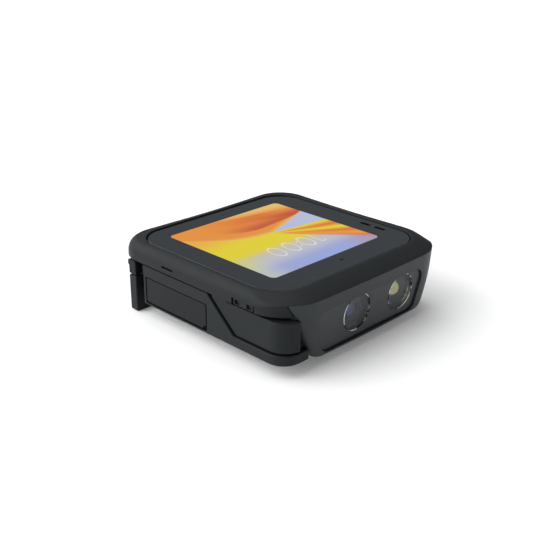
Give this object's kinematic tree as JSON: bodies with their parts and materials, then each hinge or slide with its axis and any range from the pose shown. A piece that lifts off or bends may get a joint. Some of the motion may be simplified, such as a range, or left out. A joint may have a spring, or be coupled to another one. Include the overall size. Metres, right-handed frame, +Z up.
{
  "type": "wearable touchscreen scanner",
  "caption": "Palm-sized square touchscreen scanner with an angled two-window scan nose, seated in a hand mount with side arms and a sprung rear latch bail.",
  "frame": {"origin": "on the surface that the mount rests on, under the middle of the body", "axes": "+Z up through the screen, -Y out of the scan windows, +X towards the power key"},
  "size_m": [0.056, 0.056, 0.0174],
  "materials": {
    "shell": "fine matt texture",
    "nose_plastic": "fine matt texture",
    "panel_plastic": "smooth satin",
    "dark_trim": "smooth satin",
    "key_plastic": "soft matt",
    "pad_rubber": "soft matt",
    "cover_glass": "polished, coated",
    "display": "lit screen with a soft gradient",
    "window_clear": "polished",
    "lens": "coated",
    "bright_ring": "polished",
    "reflector": "polished",
    "lamp_yellow": "glossy",
    "steel": "plain",
    "brass": "plain",
    "board": "lacquered",
    "cell_wrap": "shrink film"
  },
  "bodies": {
    "mount": {"mount_frame": "shell", "side_cover_left": "panel_plastic", "side_cover_right": "panel_plastic", "adapter_plate": "shell", "thread_inserts": "brass", "base_pad": "pad_rubber", "bail_pin": "steel", "bail_spring": "steel"},
    "terminal": {"top_housing": "shell", "cover_glass": "cover_glass", "glass_adhesive": "dark_trim", "display_module": "display", "display_frame": "steel", "front_sensor": "dark_trim", "speaker": "dark_trim", "microphone": "brass", "main_board": "board", "processor_shield": "steel", "radio_shield": "steel", "vibration_motor": "steel", "antenna_strip": "brass", "mid_housing": "shell", "housing_screws": "steel", "nose_cover": "nose_plastic", "window_plate": "dark_trim", "camera_ring": "bright_ring", "lamp_ring": "bright_ring", "camera_window": "window_clear", "lamp_window": "window_clear", "scan_chassis": "dark_trim", "camera_barrel": "dark_trim", "camera_lens": "lens", "image_sensor": "board", "lamp_reflector": "reflector", "lamp_led": "lamp_yellow", "power_switch": "steel", "scan_switch": "steel", "battery_case": "shell", "battery_lid": "shell", "battery_cell": "cell_wrap", "battery_contacts": "brass"},
    "power_key": {"power_key": "key_plastic"},
    "scan_key": {"scan_key": "key_plastic"},
    "latch_left": {"battery_latch_left": "shell"},
    "latch_right": {"battery_latch_right": "shell"},
    "bail": {"rear_bail": "shell", "bail_tip_left": "panel_plastic", "bail_tip_right": "panel_plastic", "bail_pad_left": "pad_rubber", "bail_pad_right": "pad_rubber"}
  },
  "joints": [
    {"name": "terminal_lift", "type": "slide", "parent": "mount", "child": "terminal", "axis": [0, 0, 1], "range_m": [0, 0.016]},
    {"name": "bail_swing", "type": "hinge", "parent": "mount", "child": "bail", "pos_m": [0, 0.02235, 0.0026], "axis": [-1, 0, 0], "range_deg": [0, 18], "stiffness_Nm_per_rad": 0.01},
    {"name": "power_key_press", "type": "slide", "parent": "terminal", "child": "power_key", "axis": [-1, 0, 0], "range_m": [0, 0.0003], "stiffness_N_per_m": 400},
    {"name": "scan_key_press", "type": "slide", "parent": "terminal", "child": "scan_key", "axis": [-1, 0, 0], "range_m": [0, 0.0003], "stiffness_N_per_m": 400},
    {"name": "latch_left_press", "type": "slide", "parent": "terminal", "child": "latch_left", "axis": [1, 0, 0], "range_m": [0, 0.0006], "stiffness_N_per_m": 300},
    {"name": "latch_right_press", "type": "slide", "parent": "terminal", "child": "latch_right", "axis": [-1, 0, 0], "range_m": [0, 0.0006], "stiffness_N_per_m": 300}
  ]
}
